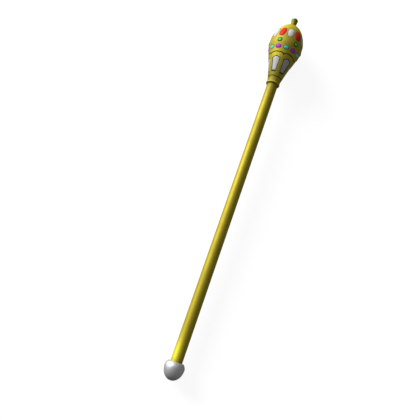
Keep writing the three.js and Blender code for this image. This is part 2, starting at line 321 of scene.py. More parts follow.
def make_gilt(name, mark_stretch):
    gilt = Finish(name)
    clouds = gilt.spread(gilt.noise(scale=38, detail=4, roughness=0.6), low=0.35, high=0.7)
    marks = gilt.noise(scale=700, detail=2, roughness=0.6, stretch=mark_stretch)
    grime_and_shade = gilt.painted("grime_and_shade")
    rubbed_and_shaded = gilt.painted("rubbed_and_shaded")
    shade_and_darkening = gilt.painted("shade_and_darkening")
    # Duller and darker where rubbed, which on the head is also painted shade by height.
    colour = gilt.blend(rubbed_and_shaded, GILT_BRIGHT, GILT_RUBBED_AND_SHADED)
    colour = gilt.blend(0.3 * clouds, colour, GILT_CLOUDED)
    # Painted highlight.
    colour = gilt.blend(gilt.painted("painted_highlight"), colour, GILT_HIGHLIGHT)
    # Painted shade on the lit side of the neck, and a post that is darker all over.
    colour = gilt.blend(shade_and_darkening, colour, GILT_DARKENED)
    # Grime in the hollows, and painted shade under the collar and on the rod below it.
    colour = gilt.blend(grime_and_shade, colour, GILT_GRIME_AND_SHADE)
    roughness = GILT_ROUGHNESS + 0.06 * clouds + 0.06 * marks + 0.12 * rubbed_and_shaded + 0.2 * grime_and_shade
    metallic = GILT_METALLIC + 0.5 * shade_and_darkening - 0.35 * rubbed_and_shaded - 0.45 * grime_and_shade
    settings = {"Metallic": metallic.clamped(), "Specular IOR Level": GILT_SPECULAR}
    return gilt.surface(settings, colour, roughness.clamped(), height=marks, bump=0.1)


gilt_head = make_gilt("gilt_head", EVEN_MARKS)
gilt_rod = make_gilt("gilt_rod", LONG_MARKS)
print("gilt:", GILT_BRIGHT, "to", GILT_CLOUDED)

# %% [markdown]
# The pommel and the panels are silver. The pommel keeps a soft polish because it is handled. The
# panels lie below the gilt where no cloth reaches, so they are duller. One function makes both,
# because they differ only in colour and polish. Fine marks break up the reflections, and a thin
# grey tarnish gathers in cloudy patches.

# %% Make the silver
SILVER_GRIME_AND_SHADE = (0.03, 0.03, 0.028)
SILVER_SPECULAR = 0.3


def make_silver(name, bright, tarnished, metallic, roughness):
    silver = Finish(name)
    clouds = silver.spread(silver.noise(scale=55, detail=5, roughness=0.62), low=0.4, high=0.72)
    marks = silver.noise(scale=900, detail=2, roughness=0.6)
    grime_and_shade = silver.painted("grime_and_shade")
    colour = silver.blend(0.4 * clouds, bright, tarnished)
    # The grime colour also darkens the pommel's lower end as painted shade.
    colour = silver.blend(grime_and_shade, colour, SILVER_GRIME_AND_SHADE)
    rough = (roughness + 0.08 * clouds + 0.08 * marks + 0.3 * grime_and_shade).clamped()
    polish = (metallic * (1 - grime_and_shade)).clamped()
    settings = {"Metallic": polish, "Specular IOR Level": SILVER_SPECULAR}
    return silver.surface(settings, colour, rough, height=marks, bump=0.08)


pommel_silver = make_silver(
    "pommel_silver",
    bright=(0.86, 0.86, 0.86), tarnished=(0.74, 0.735, 0.73), metallic=0.8, roughness=0.46,
)
panel_silver = make_silver(
    "panel_silver",
    bright=(0.62, 0.62, 0.62), tarnished=(0.54, 0.54, 0.53), metallic=0.3, roughness=0.64,
)
print("silver: polished for the pommel, duller for the panels")

# %% [markdown]
# The stones are opaque and softly polished. Each kind has a faint cloudiness and small flecks of
# its own, as natural stone has. Glass would show what lies behind, and these stones don't, so the
# colour is all in the surface. The painted attribute "share" runs from 0 at the middle of a stone
# to 1 at its edge, and the edge is painted darker as painted shade round the dome, most of all in
# the green stones. Each row below holds a light colour, a deep one, and how strong the painted edge
# shade is.

# %% Make the stones' finishes
STONE_COLOURS = {
    "white": ((0.81, 0.81, 0.805), (0.71, 0.71, 0.705), 0.15),
    "red": ((1.0, 0.034, 0.028), (0.80, 0.010, 0.008), 0.25),
    "green": ((0.26, 1.0, 0.11), (0.025, 0.45, 0.01), 0.9),
    "turquoise": ((0.20, 0.98, 0.86), (0.13, 0.70, 0.64), 0.35),
    "violet": ((0.86, 0.07, 0.92), (0.46, 0.006, 0.52), 0.4),
}
EDGE_SHADE_FACTOR = 0.35
STONE_POLISH = {"Coat Weight": 0.03, "Coat Roughness": 0.3, "Specular IOR Level": 0.08}
STONE_ROUGHNESS = 0.45


def make_stone(colour):
    light, deep, edge_shade_strength = STONE_COLOURS[colour]
    dark = tuple(EDGE_SHADE_FACTOR * channel for channel in deep)
    stone = Finish(f"{colour}_stone")
    clouds = stone.spread(stone.noise(scale=160, detail=5, roughness=0.65), low=0.38, high=0.7)
    flecks = stone.spread(stone.noise(scale=900, detail=2, roughness=0.5), low=0.66, high=0.74)
    edge = stone.spread(stone.painted("share"), low=0.45, high=1)
    body = stone.blend(0.35 * clouds, light, deep)
    body = stone.blend(0.25 * flecks, body, deep)
    # Painted shade round the edge of the dome.
    body = stone.blend(edge_shade_strength * edge, body, dark)
    roughness = STONE_ROUGHNESS + 0.1 * clouds
    return stone.surface(STONE_POLISH, body, roughness, height=clouds, bump=0.03)


stone_finishes = {colour: make_stone(colour) for colour in STONE_COLOURS}
print("stones:", ", ".join(stone_finishes))

# %% [markdown]
# The head's outline is an egg. The flank rises almost straight from the neck and turns upright
# near the belly, which a Bezier curve gives. The crown is a quarter of an oval, a little slimmer
# than an ellipse. Points typed in one by one could follow the photograph too, but two curves stay
# smooth and have only a few sizes to set.

# %% Draw the head's outline
def flank_point(t):
    rise = BELLY_HEIGHT - NECK_HEIGHT
    spread = BELLY_RADIUS - NECK_RADIUS
    corners = [
        Vector((NECK_RADIUS, NECK_HEIGHT)),
        Vector((NECK_RADIUS + FLANK_OUT * spread, NECK_HEIGHT + FLANK_UP * rise)),
        Vector((BELLY_RADIUS, BELLY_HEIGHT - FLANK_TURN * rise)),
        Vector((BELLY_RADIUS, BELLY_HEIGHT)),
    ]
    shares = [(1 - t) ** 3, 3 * t * (1 - t) ** 2, 3 * t ** 2 * (1 - t), t ** 3]
    return sum((corner * share for corner, share in zip(corners, shares)), Vector((0, 0)))


def crown_point(angle):
    power = 2 / CROWN_FULLNESS
    return Vector((
        BELLY_RADIUS * math.cos(angle) ** power,
        BELLY_HEIGHT + CROWN_RISE * math.sin(angle) ** power,
    ))


CROWN_END = math.acos((FINIAL_ROOT_RADIUS / BELLY_RADIUS) ** (CROWN_FULLNESS / 2))
OUTLINE_STEPS = 200
egg = [flank_point(i / OUTLINE_STEPS) for i in range(OUTLINE_STEPS)]
egg += [crown_point(CROWN_END * i / OUTLINE_STEPS) for i in range(OUTLINE_STEPS + 1)]
egg_radii = np.array([point.x for point in egg])
egg_heights = np.array([point.y for point in egg])
egg_lengths = np.concatenate([
    [0], np.cumsum(np.hypot(np.diff(egg_radii), np.diff(egg_heights)))
])
print("outline from neck to finial is", round(egg_lengths[-1], 1), "mm long")

# %% [markdown]
# What is set into the head follows its curve. Each stone could be modelled in its place on the
# slope, but flat shapes are easier to draw. So these helpers take shapes that are drawn as distance
# across, distance up the outline and distance outwards, and lay them over the head.

# %% Lay shapes over the head
SLOPE_STEP = 0.5


def length_at(height):
    return float(np.interp(height, egg_heights, egg_lengths))


def over_head(length, azimuth, across, outwards):
    radius = np.interp(length, egg_lengths, egg_radii)
    height = np.interp(length, egg_lengths, egg_heights)
    above, below = length + SLOPE_STEP, length - SLOPE_STEP
    rise = np.interp(above, egg_lengths, egg_heights) - np.interp(below, egg_lengths, egg_heights)
    spread = np.interp(above, egg_lengths, egg_radii) - np.interp(below, egg_lengths, egg_radii)
    size = np.hypot(rise, spread)
    reach = radius + outwards * rise / size
    angle = azimuth + across / radius
    return np.stack(
        [-reach * np.cos(angle), -reach * np.sin(angle), height - outwards * spread / size],
        axis=-1,
    ) * MM


print("belly lies", round(length_at(BELLY_HEIGHT), 1), "mm up the outline from the neck")

# %% [markdown]
# A few small helpers do what every piece needs. They read and bend a mesh's points, paint an
# attribute, select one piece alone, close a shell with its faces outwards, and shade it smooth.

# %% Helpers for meshes
CLOSE_TOGETHER = 0.001 * MM
SMOOTH_ANGLE = math.radians(30)


def mesh_places(piece):
    places = np.zeros(len(piece.data.vertices) * 3)
    piece.data.vertices.foreach_get("co", places)
    return places.reshape(-1, 3)


def paint(piece, name, values):
    layer = piece.data.attributes.new(name, "FLOAT", "POINT")
    layer.data.foreach_set("value", np.clip(values, 0, 1).astype(np.float32))


def lay_over(piece, height):
    """Bends a flat piece, in millimetres, onto the upper side of the head, in metres."""
    flat = mesh_places(piece)
    laid = over_head(length_at(height) + flat[:, 1], 0, flat[:, 0], flat[:, 2])
    piece.data.vertices.foreach_set("co", laid.ravel())
    piece.data.update()


def select_only(piece):
    bpy.ops.object.select_all(action="DESELECT")
    piece.select_set(True)
    bpy.context.view_layer.objects.active = piece


def tidy_shell():
    bpy.ops.mesh.select_all(action="SELECT")
    bpy.ops.mesh.remove_doubles(threshold=CLOSE_TOGETHER)
    bpy.ops.mesh.normals_make_consistent(inside=False)


def smooth(piece):
    select_only(piece)
    bpy.ops.object.shade_smooth_by_angle(angle=SMOOTH_ANGLE)


print("points closer than", CLOSE_TOGETHER / MM, "mm are merged")

# %% [markdown]
# The rod, the pommel and the head are turned, as on a lathe. Cylinders and spheres could be joined
# up instead, but one outline has no seams and keeps its sizes. In Blender one vertex is extruded
# along the outline, and the line is spun about the Z axis.

# %% Turn a shape
QUARTER = math.pi / 2
FULL_TURN = 2 * math.pi


def turned(name, outline, steps):
    bpy.ops.object.select_all(action="DESELECT")
    bpy.ops.mesh.primitive_plane_add(size=MM, location=(0, 0, 0))
    piece = bpy.context.object
    piece.name = name
    bpy.ops.object.mode_set(mode="EDIT")
    bpy.ops.mesh.select_all(action="SELECT")
    bpy.ops.mesh.merge(type="CENTER")
    places = [Vector((radius, 0, height)) * MM for radius, height in outline]
    bpy.ops.transform.translate(value=places[0])
    for start, end in zip(places, places[1:]):
        bpy.ops.mesh.extrude_vertices_move(TRANSFORM_OT_translate={"value": end - start})
    bpy.ops.mesh.select_all(action="SELECT")
    bpy.ops.mesh.spin(
        steps=steps, angle=FULL_TURN, center=(0, 0, 0), axis=(0, 0, 1), dupli=False
    )
    tidy_shell()
    bpy.ops.object.mode_set(mode="OBJECT")
    return piece


def arc(centre, radial, axial, start, end, steps):
    points = []
    for i in range(steps + 1):
        angle = start + (end - start) * i / steps
        points.append((
            centre[0] + radial * math.cos(angle),
            centre[1] + axial * math.sin(angle),
        ))
    return points


print("shapes can be turned")

# %% [markdown]
# The head is one casting. Its outline starts in the socket for the rod, goes round the collar bead,
# up the neck and the flank and over the crown, and ends in the seat of the finial stone. The neck
# has extra rows close to the bead, because paint needs points to stay between.

# %% Turn the head
HEAD_STEPS = 192
FLANK_ROWS = 64
CROWN_ROWS = 48
BEAD_STEPS = 10
NECK_ROW_HEIGHTS = (3.7, 4.2, 5, 7)
RIM_ROUNDING = 0.2
RIM_STEPS = 4

bead_centre = (COLLAR_RADIUS - COLLAR_BEAD, COLLAR_BEAD)
bead_turn = QUARTER * COLLAR_BEAD_TURN
bead = arc(bead_centre, COLLAR_BEAD, COLLAR_BEAD, -QUARTER, bead_turn, BEAD_STEPS)
head_outline = [(0, HEAD_SOCKET_DEPTH), (SOCKET_RADIUS, HEAD_SOCKET_DEPTH), (SOCKET_RADIUS, 0)]
head_outline += bead
for height in NECK_ROW_HEIGHTS:
    share = (height - bead[-1][1]) / (NECK_HEIGHT - bead[-1][1])
    head_outline.append((bead[-1][0] + (NECK_RADIUS - bead[-1][0]) * share, height))
head_outline += [tuple(flank_point(i / FLANK_ROWS)) for i in range(FLANK_ROWS + 1)]
head_outline += [tuple(crown_point(CROWN_END * i / CROWN_ROWS)) for i in range(1, CROWN_ROWS + 1)]
rim_edges = ((FINIAL_TIP_RADIUS - RIM_ROUNDING, 0), (FINIAL_SEAT_RADIUS + RIM_ROUNDING, QUARTER))
for radius, start in rim_edges:
    rim_centre = (radius, FINIAL_HEIGHT - RIM_ROUNDING)
    head_outline += arc(rim_centre, RIM_ROUNDING, RIM_ROUNDING, start, start + QUARTER, RIM_STEPS)
head_outline += [
    (FINIAL_SEAT_RADIUS, FINIAL_HEIGHT - FINIAL_SEAT_DEPTH),
    (0, FINIAL_HEIGHT - FINIAL_SEAT_DEPTH),
]
head = turned("gilt_head_casting", head_outline, HEAD_STEPS)
print("head has", len(head.data.polygons), "faces")

# %% [markdown]
# Stones, panels and the cutters of their seats are all the same kind of shape: one outline that is
# extruded outwards ring by ring. A squashed sphere could pass for a stone, but it would lack the
# upright edge that a real cabochon hides in its seat. The outlines are drawn first.

# %% Draw outlines
def oval(half_width, half_height, squareness, steps):
    power = 2 / squareness
    corners = []
    for i in range(steps):
        angle = FULL_TURN * i / steps
        sine, cosine = math.sin(angle), math.cos(angle)
        corners.append(Vector((
            half_width * math.copysign(abs(cosine) ** power, cosine),
            half_height * math.copysign(abs(sine) ** power, sine),
        )))
    return corners


def grown(corners, clearance):
    """An outline that runs anticlockwise, moved outwards by a clearance."""
    moved = []
    for i, corner in enumerate(corners):
        arriving = (corner - corners[i - 1]).normalized()
        leaving = (corners[(i + 1) % len(corners)] - corner).normalized()
        first = Vector((arriving.y, -arriving.x))
        second = Vector((leaving.y, -leaving.x))
        moved.append(corner + (first + second) * clearance / (1 + first.dot(second)))
    return moved


print("ovals can be drawn, and any outline can be grown")

# %% [markdown]
# The rings come from a circle whose edges are extruded once for each ring. Then every ring takes
# its own share, clearance and height, and the shares are painted on as an attribute, which tells
# the stones' finish how near the edge it is.

# %% Build up rings
def built_up(name, outline, rings):
    """A closed shape from rings of one outline. Each ring has a share, a clearance and a height."""
    bpy.ops.object.select_all(action="DESELECT")
    bpy.ops.mesh.primitive_circle_add(
        vertices=len(outline), radius=1, fill_type="NOTHING", location=(0, 0, 0)
    )
    piece = bpy.context.object
    piece.name = name
    bpy.ops.object.mode_set(mode="EDIT")
    bpy.ops.mesh.select_all(action="SELECT")
    for _ in rings[1:]:
        bpy.ops.mesh.extrude_edges_move(TRANSFORM_OT_translate={"value": (0, 0, 1)})
    bpy.ops.object.mode_set(mode="OBJECT")
    places = mesh_places(piece)
    levels = np.round(places[:, 2]).astype(int)
    turns = np.round(np.arctan2(places[:, 1], places[:, 0]) / FULL_TURN * len(outline))
    corners_of = {
        level: grown(outline, clearance) for level, (_, clearance, _) in enumerate(rings)
    }
    for i, (level, turn) in enumerate(zip(levels, turns)):
        share, _, out = rings[level]
        corner = corners_of[level][int(turn) % len(outline)] * share
        places[i] = (corner.x, corner.y, out)
    piece.data.vertices.foreach_set("co", places.ravel())
    piece.data.update()
    paint(piece, "share", [rings[level][0] for level in levels])
    return piece


def closed(piece):
    select_only(piece)
    bpy.ops.object.mode_set(mode="EDIT")
    tidy_shell()
    bpy.ops.object.mode_set(mode="OBJECT")


print("plates and cutters can be built up")

# %% [markdown]
# Every stone sits in a seat with a narrow sunken ledge round it, where grime gathers. Raised
# collars of metal are another way to hold stones, but here the gilding ends flush with them. So a
# cutter is made for each seat, a fit gap wider than its stone, with an eased upper edge.

# %% Make cutters for the seats
SEAT_EASE = 0.15
SEAT_CLEARANCE = 2.5
INNER_RING = 0.5


def seat_cutter(outline, depth, border, ledge, height, foot_drop=0):
    """The tool that sinks a seat and its ledge, which may be wider below the foot."""
    edge = FIT_GAP + border
    eased = edge + 2 * SEAT_EASE
    rings = [(0, 0, -depth), (INNER_RING, 0, -depth), (1, FIT_GAP, -depth), (1, FIT_GAP, -ledge)]
    rings += [(1, edge, -ledge), (1, edge, -SEAT_EASE), (1, edge + SEAT_EASE, 0)]
    rings += [(1, eased, SEAT_EASE), (1, eased, SEAT_CLEARANCE)]
    rings += [(INNER_RING, 0, SEAT_CLEARANCE), (0, 0, SEAT_CLEARANCE)]
    cutter = built_up("seat_cutter", outline, rings)
    places = mesh_places(cutter)
    seat_foot = min(corner.y for corner in outline) - FIT_GAP
    places[places[:, 1] < seat_foot - SEAT_EASE, 1] -= foot_drop
    cutter.data.vertices.foreach_set("co", places.ravel())
    lay_over(cutter, height)
    closed(cutter)
    return cutter


print("seats are", FIT_GAP, "mm wider than what they hold")

# %% [markdown]
# The stones are low cabochons: an upright edge that is hidden in the seat, a rounded shoulder and a
# shallow dome. Each of the three shapes is made once, together with the tool for its seat. Later
# they are copied round the head.

# %% Make the three shapes of stone
STONE_KINDS = {
    "crown": {"size": (6.3, 11.4, 2.4), "steps": 64, "border": 0.35, "height": CROWN_STONE_HEIGHT},
    "shoulder": {"size": (4.3, 3.5, 2.1), "steps": 48, "border": 0.8, "height": SHOULDER_HEIGHT},
    "belt": {"size": (5.7, 3.5, 2.3), "steps": 48, "border": 0.5, "height": BELT_HEIGHT},
}
BACK_RING = 0.6
DOME_SHARES = (0.985, 0.95, 0.9, 0.82, 0.72, 0.6, 0.46, 0.32, 0.18, 0.08, 0)
STONE_EDGE_DROP = 0.15
LEDGE_DEPTH = 0.55

patterns = {}
for kind, shape in STONE_KINDS.items():
    outline = oval(*shape["size"], shape["steps"])
    base = FIT_GAP - STONE_SEAT_DEPTH
    rings = [(0, 0, base), (BACK_RING, 0, base), (1, 0, base), (1, 0, -STONE_EDGE_DROP), (1, 0, 0)]
    for share in DOME_SHARES:
        rings.append((share, 0, STONE_EDGE_RISE + STONE_RISE * (1 - share ** 2)))
    stone = built_up(f"{kind}_pattern", outline, rings)
    lay_over(stone, shape["height"])
    closed(stone)
    seat = seat_cutter(outline, STONE_SEAT_DEPTH, shape["border"], LEDGE_DEPTH, shape["height"])
    patterns[kind] = (stone, seat)
    print(kind, "stone has", len(stone.data.polygons), "faces")

# %% [markdown]
# A silver panel is a flat plate with a peak, two shoulders and a narrow foot. Its edge is bevelled
# and its face lies a little below the gilt round it, in a seat with a sunken ledge that is widest
# below the foot. Its sides have many short steps, because a long straight edge would cut through
# the head's curve instead of following it.

# %% Make the panel
PANEL_BORDER = 0.8
PANEL_FOOT_DROP = 2.0
PANEL_LEDGE_DEPTH = 1.15
PANEL_BEVEL = 0.35
PANEL_BEVEL_TURN = 0.3
PANEL_FACE_SHARES = (0.75, 0.5, 0.25, 0)
PANEL_SIDE_STEPS = (4, 4, 16, 5, 16)
PANEL_MIDDLE_HEIGHT = (PANEL_PEAK_HEIGHT + PANEL_FOOT_HEIGHT) / 2

panel_peak, panel_shoulder, panel_foot = (
    length_at(height) - length_at(PANEL_MIDDLE_HEIGHT)
    for height in (PANEL_PEAK_HEIGHT, PANEL_SHOULDER_HEIGHT, PANEL_FOOT_HEIGHT)
)
panel_corners = [
    Vector((PANEL_SHOULDER_HALF_WIDTH, panel_shoulder)),
    Vector((0, panel_peak)),
    Vector((-PANEL_SHOULDER_HALF_WIDTH, panel_shoulder)),
    Vector((-PANEL_FOOT_HALF_WIDTH, panel_foot)),
    Vector((PANEL_FOOT_HALF_WIDTH, panel_foot)),
]
next_corners = panel_corners[1:] + panel_corners[:1]
panel_outline = []
for start, end, steps in zip(panel_corners, next_corners, PANEL_SIDE_STEPS):
    panel_outline += [start.lerp(end, step / steps) for step in range(steps)]

base = FIT_GAP - PANEL_SEAT_DEPTH
face = -PANEL_SINK
turn_in = PANEL_BEVEL * PANEL_BEVEL_TURN
rings = [(0, 0, base), (INNER_RING, 0, base), (1, 0, base), (1, 0, face - PANEL_BEVEL)]
rings += [(1, -turn_in, face - turn_in), (1, -PANEL_BEVEL, face)]
rings += [(share, 0, face) for share in PANEL_FACE_SHARES]
panel = built_up("panel_pattern", panel_outline, rings)
lay_over(panel, PANEL_MIDDLE_HEIGHT)
closed(panel)
panel_seat = seat_cutter(
    panel_outline, PANEL_SEAT_DEPTH, PANEL_BORDER, PANEL_LEDGE_DEPTH, PANEL_MIDDLE_HEIGHT,
    PANEL_FOOT_DROP,
)
patterns["panel"] = (panel, panel_seat)
print("panel is", round(panel_peak - panel_foot, 1), "mm long")

# %% [markdown]
# Two rows of arches are engraved with a round graver. The cuts are a little wider than on the plain
# solid. Each arch is half an oval between two ribs, a little squarer than an ellipse. A bump in the
# gilt's material could draw the lines, but a real cut is dark on one wall and bright on the other
# from any side. A curve with a round bevel gives the shape of the cut.

# %% Make the engraver's cuts
ARCH_STEPS = 32
GRAVER_LIFT = 0.12
GRAVER_ROUNDNESS = 3


def arch_cutter(foot, rise, half_line):
    curve = bpy.data.curves.new("arch_cutter", "CURVE")
    curve.dimensions = "3D"
    curve.bevel_depth = half_line * MM
    curve.bevel_resolution = GRAVER_ROUNDNESS
    curve.use_fill_caps = True
    line = curve.splines.new("POLY")
    line.points.add(ARCH_STEPS)
    half_arch = oval(math.pi / SIDES, rise, ARCH_SQUARENESS, 2 * ARCH_STEPS)[:ARCH_STEPS + 1]
    for point, (turn, up) in zip(line.points, half_arch):
        point.co = (*over_head(length_at(foot + up), turn, 0, GRAVER_LIFT), 1)
    cutter = bpy.data.objects.new("arch_cutter", curve)
    bpy.context.collection.objects.link(cutter)
    select_only(cutter)
    bpy.ops.object.convert(target="MESH")
    closed(cutter)
    return cutter


upper_arch = arch_cutter(UPPER_ARCH_FOOT, UPPER_ARCH_RISE, UPPER_ARCH_LINE)
lower_arch = arch_cutter(LOWER_ARCH_FOOT, LOWER_ARCH_RISE, LOWER_ARCH_LINE)
print("arch cutter has", len(upper_arch.data.polygons), "faces")

# %% [markdown]
# Now the patterns are copied six times round the head. A rib stands at each sixth of a turn, and a
# panel lies between two ribs. White and turquoise stones follow the ribs. The others follow the
# panels. Copies that share one mesh would be lighter, but each finished piece needs its own place
# in its mesh, so each copy has its own.

# %% Copy the patterns round the head
def copied(piece, name, azimuth):
    """A copy with its own mesh, turned about the head's axis."""
    select_only(piece)
    bpy.ops.object.duplicate(linked=False)
    copy = bpy.context.object
    copy.name = name
    copy.data.transform(Matrix.Rotation(azimuth, 4, "Z"))
    return copy


cutters = []
stones = {}
for i in range(SIDES):
    rib = FULL_TURN * i / SIDES
    between = rib + math.pi / SIDES
    places = {
        "crown_stone_white": ("crown", rib),
        "crown_stone_red": ("crown", between),
        "shoulder_stone_green": ("shoulder", between),
        "belt_stone_turquoise": ("belt", rib),
        "belt_stone_violet": ("belt", between),
        "silver_panel": ("panel", between),
    }
    for name, (kind, azimuth) in places.items():
        pattern, seat = patterns[kind]
        node = f"{name}_{i + 1}"
        stones[node] = copied(pattern, f"polished_{node}", azimuth)
        cutters.append(copied(seat, "seat_cutter", azimuth))
    for arch in (upper_arch, lower_arch):
        cutters.append(copied(arch, "arch_cutter", between))
used_up = [piece for pair in patterns.values() for piece in pair] + [upper_arch, lower_arch]
for piece in used_up:
    bpy.data.objects.remove(piece)
print(len(stones), "stones and panels, and", len(cutters), "cutters")

# %% [markdown]
# All the cutters go into one collection, and one Boolean modifier takes them out of the casting. The
# seats could be modelled into the casting's own faces, but cutting leaves the turned outline as it
# is between the seats, as a jeweller's burr does.

# %% Cut the casting
tools = bpy.data.collections.new("cutters")
for cutter in cutters:
    tools.objects.link(cutter)
select_only(head)
cut = head.modifiers.new("cut", "BOOLEAN")
cut.operation = "DIFFERENCE"
cut.operand_type = "COLLECTION"
cut.collection = tools
cut.solver = "EXACT"
bpy.ops.object.modifier_apply(modifier="cut")
for cutter in cutters:
    bpy.data.objects.remove(cutter)
bpy.data.collections.remove(tools)
print("head has", len(head.data.polygons), "faces after the cuts")

# %% [markdown]
# Grime gathers where a cloth can't reach. It could be painted by hand, but here it is worked out for
# each point of the casting from how deep it lies below the turned outline. The crease at the foot
# of the finial holds some too, and round the rod the collar's underside is painted dark as painted
# shade. The next cell does this.

# %% Paint the grime in the recesses and the shade under the collar
FULL_GRIME_DEPTH = 0.15
FINIAL_CREASE_GRIME = 0.7
FINIAL_CREASE_REACH = 1.6
SOCKET_CREASE_REACH = 0.6
SOCKET_WALL = 0.2
LEAST_STEP = 1e-9


def near(places, radius, height, reach):
    """How near each point is to a turned crease, from 0 to 1."""
    away = np.hypot(np.hypot(places[:, 0], places[:, 1]) - radius, places[:, 2] - height)
    return np.exp(-((away / reach) ** 2))


egg_end = egg_heights[-1]
head_places = mesh_places(head) / MM
head_heights = head_places[:, 2]
head_radii = np.hypot(head_places[:, 0], head_places[:, 1])
outline_radii = np.interp(head_heights, egg_heights, egg_radii)
outline_slopes = np.diff(egg_radii) / (np.diff(egg_heights) + LEAST_STEP)
slopes = np.interp(head_heights, egg_heights[1:], outline_slopes)
depths = (outline_radii - head_radii) / np.hypot(1, slopes)
on_egg = (head_heights > NECK_HEIGHT) & (head_heights < egg_end)
on_egg &= head_radii > SOCKET_RADIUS + SOCKET_WALL
finial_crease = near(head_places, FINIAL_ROOT_RADIUS, egg_end, FINIAL_CREASE_REACH)
grime_and_shade = np.where(on_egg, depths / FULL_GRIME_DEPTH, 0)
grime_and_shade = np.maximum(grime_and_shade, FINIAL_CREASE_GRIME * finial_crease)
# The collar's underside round the rod is painted dark: painted shade.
grime_and_shade = np.maximum(grime_and_shade, near(head_places, SOCKET_RADIUS, 0, SOCKET_CREASE_REACH))
paint(head, "grime_and_shade", grime_and_shade)
print("deepest cut is", round(float(depths[on_egg].max()), 2), "mm")

# %% [markdown]
# The attribute for rubbing is strongest round the belly and the neck, where the head is touched
# most, and its rise and fall with height is also painted shade: darker neck and belly, lighter
# arches and crown. The post of the finial is painted darker all over. On the lit side the neck is
# painted darker as painted shade, and the flank from the upper arches to the belly gets a painted
# highlight. Each row of shares below goes with the row of heights above it.

# %% Paint the wear, painted shade and painted highlights of the gilding
RUBBED_AND_SHADED_MOST = 0.65
RUBBED_AND_SHADED_HEIGHTS = (0, 40, 56, 62, 76, 100, 118)
RUBBED_AND_SHADED_SHARES = (1, 0.9, 0.2, 0.2, 0.9, 0.9, 0)
HIGHLIGHT_HEIGHTS = (0.5, 2, 3.5, 4.2, 110, 128)
HIGHLIGHT_SHARES = (0, 0.3, 0.4, 0, 0, 0.65)
SHADED_NECK_SIDE = -0.9
HIGHLIGHT_SIDE = -0.35
NECK_SHADE = 0.4
NECK_SHADE_HEIGHTS = (3.5, 5, 22, 44)
POST_DARKENING_REACH = 2
SIDE_HIGHLIGHT = 0.35
SIDE_HIGHLIGHT_HEIGHTS = (50, 57, 66, 98)
RISE_AND_FALL = (0, 1, 1, 0)


def facing(places, azimuth):
    """How far each point faces one side, from 0 to 1."""
    azimuths = np.arctan2(-places[:, 1], -places[:, 0])
    return np.clip(np.cos(azimuths - azimuth), 0, 1) ** 2


# Duller wear, and painted shade by height: darker neck and belly, lighter arches and crown.
rubbed_and_shaded = RUBBED_AND_SHADED_MOST * np.interp(head_heights, RUBBED_AND_SHADED_HEIGHTS, RUBBED_AND_SHADED_SHARES)
# A painted highlight on the lit side of the flank.
side_highlight = SIDE_HIGHLIGHT * np.interp(head_heights, SIDE_HIGHLIGHT_HEIGHTS, RISE_AND_FALL)
# Painted highlights on the collar bead and the upper crown.
painted_highlight = np.interp(head_heights, HIGHLIGHT_HEIGHTS, HIGHLIGHT_SHARES)
# Painted shade on the lit side of the neck.
neck_shade = NECK_SHADE * np.interp(head_heights, NECK_SHADE_HEIGHTS, RISE_AND_FALL)
# The finial post is painted darker all over.
post_darkening = (head_heights - egg_end) / POST_DARKENING_REACH
paint(head, "rubbed_and_shaded", rubbed_and_shaded)
paint(head, "painted_highlight", painted_highlight + side_highlight * facing(head_places, HIGHLIGHT_SIDE))
paint(head, "shade_and_darkening", np.maximum(post_darkening, neck_shade * facing(head_places, SHADED_NECK_SIDE)))
print("gilding is rubbed by up to", round(float(rubbed_and_shaded.max()), 2))

# %% [markdown]
# The rod is a plain polished tube. Its ends are hidden in the head and the pommel. A cylinder with
# two rows of points would have the same shape, but the wear and the painted light are put on its
# points, so the rod is turned with many rows. Painted shade, with some grime, darkens it below the
# collar, grime darkens the joint above the pommel, and a painted highlight lies on the upper side
# near the pommel.

# %% Turn the rod
ROD_STEPS = 96
ROD_ROWS = 120
ROD_CHAMFER = 0.5

rod_foot = FIT_GAP - SHAFT_LENGTH - POMMEL_SOCKET_DEPTH
rod_end = HEAD_SOCKET_DEPTH - FIT_GAP
lowest_row = rod_foot + ROD_CHAMFER
straight = rod_end - rod_foot - 2 * ROD_CHAMFER
rod_outline = [(0, rod_foot), (SHAFT_RADIUS - ROD_CHAMFER, rod_foot)]
rod_outline += [(SHAFT_RADIUS, lowest_row + straight * i / ROD_ROWS) for i in range(ROD_ROWS)]
rod_outline += [(SHAFT_RADIUS, rod_end - ROD_CHAMFER)]
rod_outline += [(SHAFT_RADIUS - ROD_CHAMFER, rod_end), (0, rod_end)]
rod = turned("polished_rod", rod_outline, ROD_STEPS)
print("rod is", round(rod_end - rod_foot, 1), "mm long")

# %% [markdown]
# The rod's grime, wear and painted shade fade with distance, and an exponential gives such a fade.
# Each pair below is a strength and the distance over which it fades, in millimetres. Below the
# collar the darkening is painted shade with some grime; above the pommel it is grime in the joint.

# %% Paint the rod's wear, painted shade and painted highlight
COLLAR_GRIME_AND_SHADOW = (0.15, 8)
COLLAR_SHADE = (0.25, 40)
POMMEL_GRIME = (0.6, 1.5)
ROD_RUBBED = 0.1
ROD_HIGHLIGHT_SIDE = -0.65
ROD_HIGHLIGHT_HEIGHT = 14
ROD_HIGHLIGHT_REACH = 26


def fading(strength_and_reach, distances):
    strength, reach = strength_and_reach
    return strength * np.exp(-distances / reach)


rod_surface = mesh_places(rod) / MM
below_collar = np.abs(rod_surface[:, 2])
above_pommel = np.abs(rod_surface[:, 2] + SHAFT_LENGTH)
# Painted shade with some grime below the collar, and grime in the joint above the pommel.
rod_grime_and_shade = fading(COLLAR_GRIME_AND_SHADOW, below_collar) + fading(COLLAR_SHADE, below_collar)
rod_grime_and_shade += fading(POMMEL_GRIME, above_pommel)
